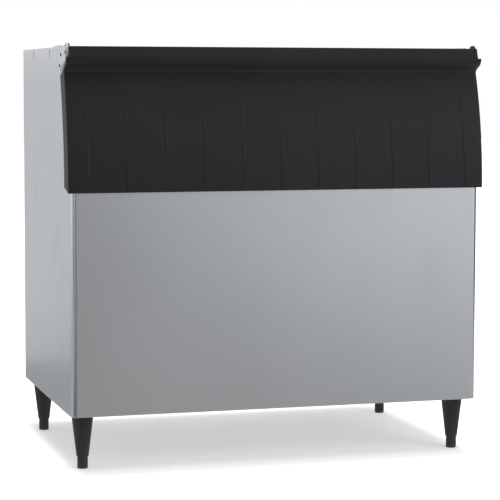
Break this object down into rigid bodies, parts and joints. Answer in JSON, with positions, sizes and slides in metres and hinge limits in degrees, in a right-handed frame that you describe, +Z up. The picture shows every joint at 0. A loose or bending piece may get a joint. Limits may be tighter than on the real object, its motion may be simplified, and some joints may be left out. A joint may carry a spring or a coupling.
{
  "type": "ice storage bin",
  "caption": "Insulated stainless ice bin on adjustable legs, open on top for an ice maker, with a curved black front door that swings up and over",
  "frame": {"origin": "centre of the footprint, on the floor under the feet", "axes": "+X to the viewer's right when facing the door, +Y from the front to the back, +Z up"},
  "size_m": [1.321, 0.821, 1.284],
  "materials": {
    "stainless": "brushed stainless sheet, grain along the panel",
    "galvanised": "dull galvanised sheet with a faint spangle",
    "bracket_steel": "bright brushed stainless plate",
    "hardware": "plain bright stainless screws and pins",
    "dark_hardware": "blackened steel screws, satin",
    "black_moulding": "moulded polyethylene with a satin, finely textured face",
    "leg_plastic": "moulded plastic, satin",
    "liner": "food-grade polyethylene, satin",
    "fitting": "moulded plastic, satin",
    "foam": "rigid foamed-in-place insulation",
    "gasket": "soft vinyl gasket, matte"
  },
  "bodies": {
    "cabinet": {"front_panel": "stainless", "side_panel_left": "stainless", "side_panel_right": "stainless", "back_panel": "galvanised", "base_panel": "galvanised", "back_screws": "hardware", "cabinet_foam": "foam", "bin_liner": "liner", "opening_frame": "liner", "header": "black_moulding", "baffle": "stainless", "baffle_screws": "hardware", "drain_elbow": "fitting", "drain_flange": "fitting", "drain_strainer": "hardware", "strap_rail_left": "galvanised", "strap_rail_right": "galvanised", "leg_plates": "galvanised", "leg_studs": "hardware", "leg_front_left": "leg_plastic", "leg_front_right": "leg_plastic", "leg_back_left": "leg_plastic", "leg_back_right": "leg_plastic", "hinge_bracket_left": "bracket_steel", "hinge_bracket_right": "bracket_steel", "bracket_screws_left": "dark_hardware", "bracket_screws_right": "dark_hardware", "hinge_pin_left": "hardware", "hinge_pin_right": "hardware", "stop_stud_left": "hardware", "stop_stud_right": "hardware"},
    "door": {"door_skin": "black_moulding", "door_foam": "foam", "door_liner": "black_moulding", "door_gasket": "gasket", "hinge_arm_left": "bracket_steel", "hinge_arm_right": "bracket_steel", "arm_screws_left": "hardware", "arm_screws_right": "hardware"},
    "foot_fl": {"foot_front_left": "leg_plastic"},
    "foot_fr": {"foot_front_right": "leg_plastic"},
    "foot_bl": {"foot_back_left": "leg_plastic"},
    "foot_br": {"foot_back_right": "leg_plastic"}
  },
  "joints": [
    {"name": "door_hinge", "type": "hinge", "parent": "cabinet", "child": "door", "pos_m": [0, -0.3455, 1.26], "axis": [-1, 0, 0], "range_deg": [0, 175]},
    {"name": "foot_screw_front_left", "type": "slide", "parent": "cabinet", "child": "foot_fl", "axis": [0, 0, -1], "range_m": [0, 0.025]},
    {"name": "foot_screw_front_right", "type": "slide", "parent": "cabinet", "child": "foot_fr", "axis": [0, 0, -1], "range_m": [0, 0.025]},
    {"name": "foot_screw_back_left", "type": "slide", "parent": "cabinet", "child": "foot_bl", "axis": [0, 0, -1], "range_m": [0, 0.025]},
    {"name": "foot_screw_back_right", "type": "slide", "parent": "cabinet", "child": "foot_br", "axis": [0, 0, -1], "range_m": [0, 0.025]}
  ]
}
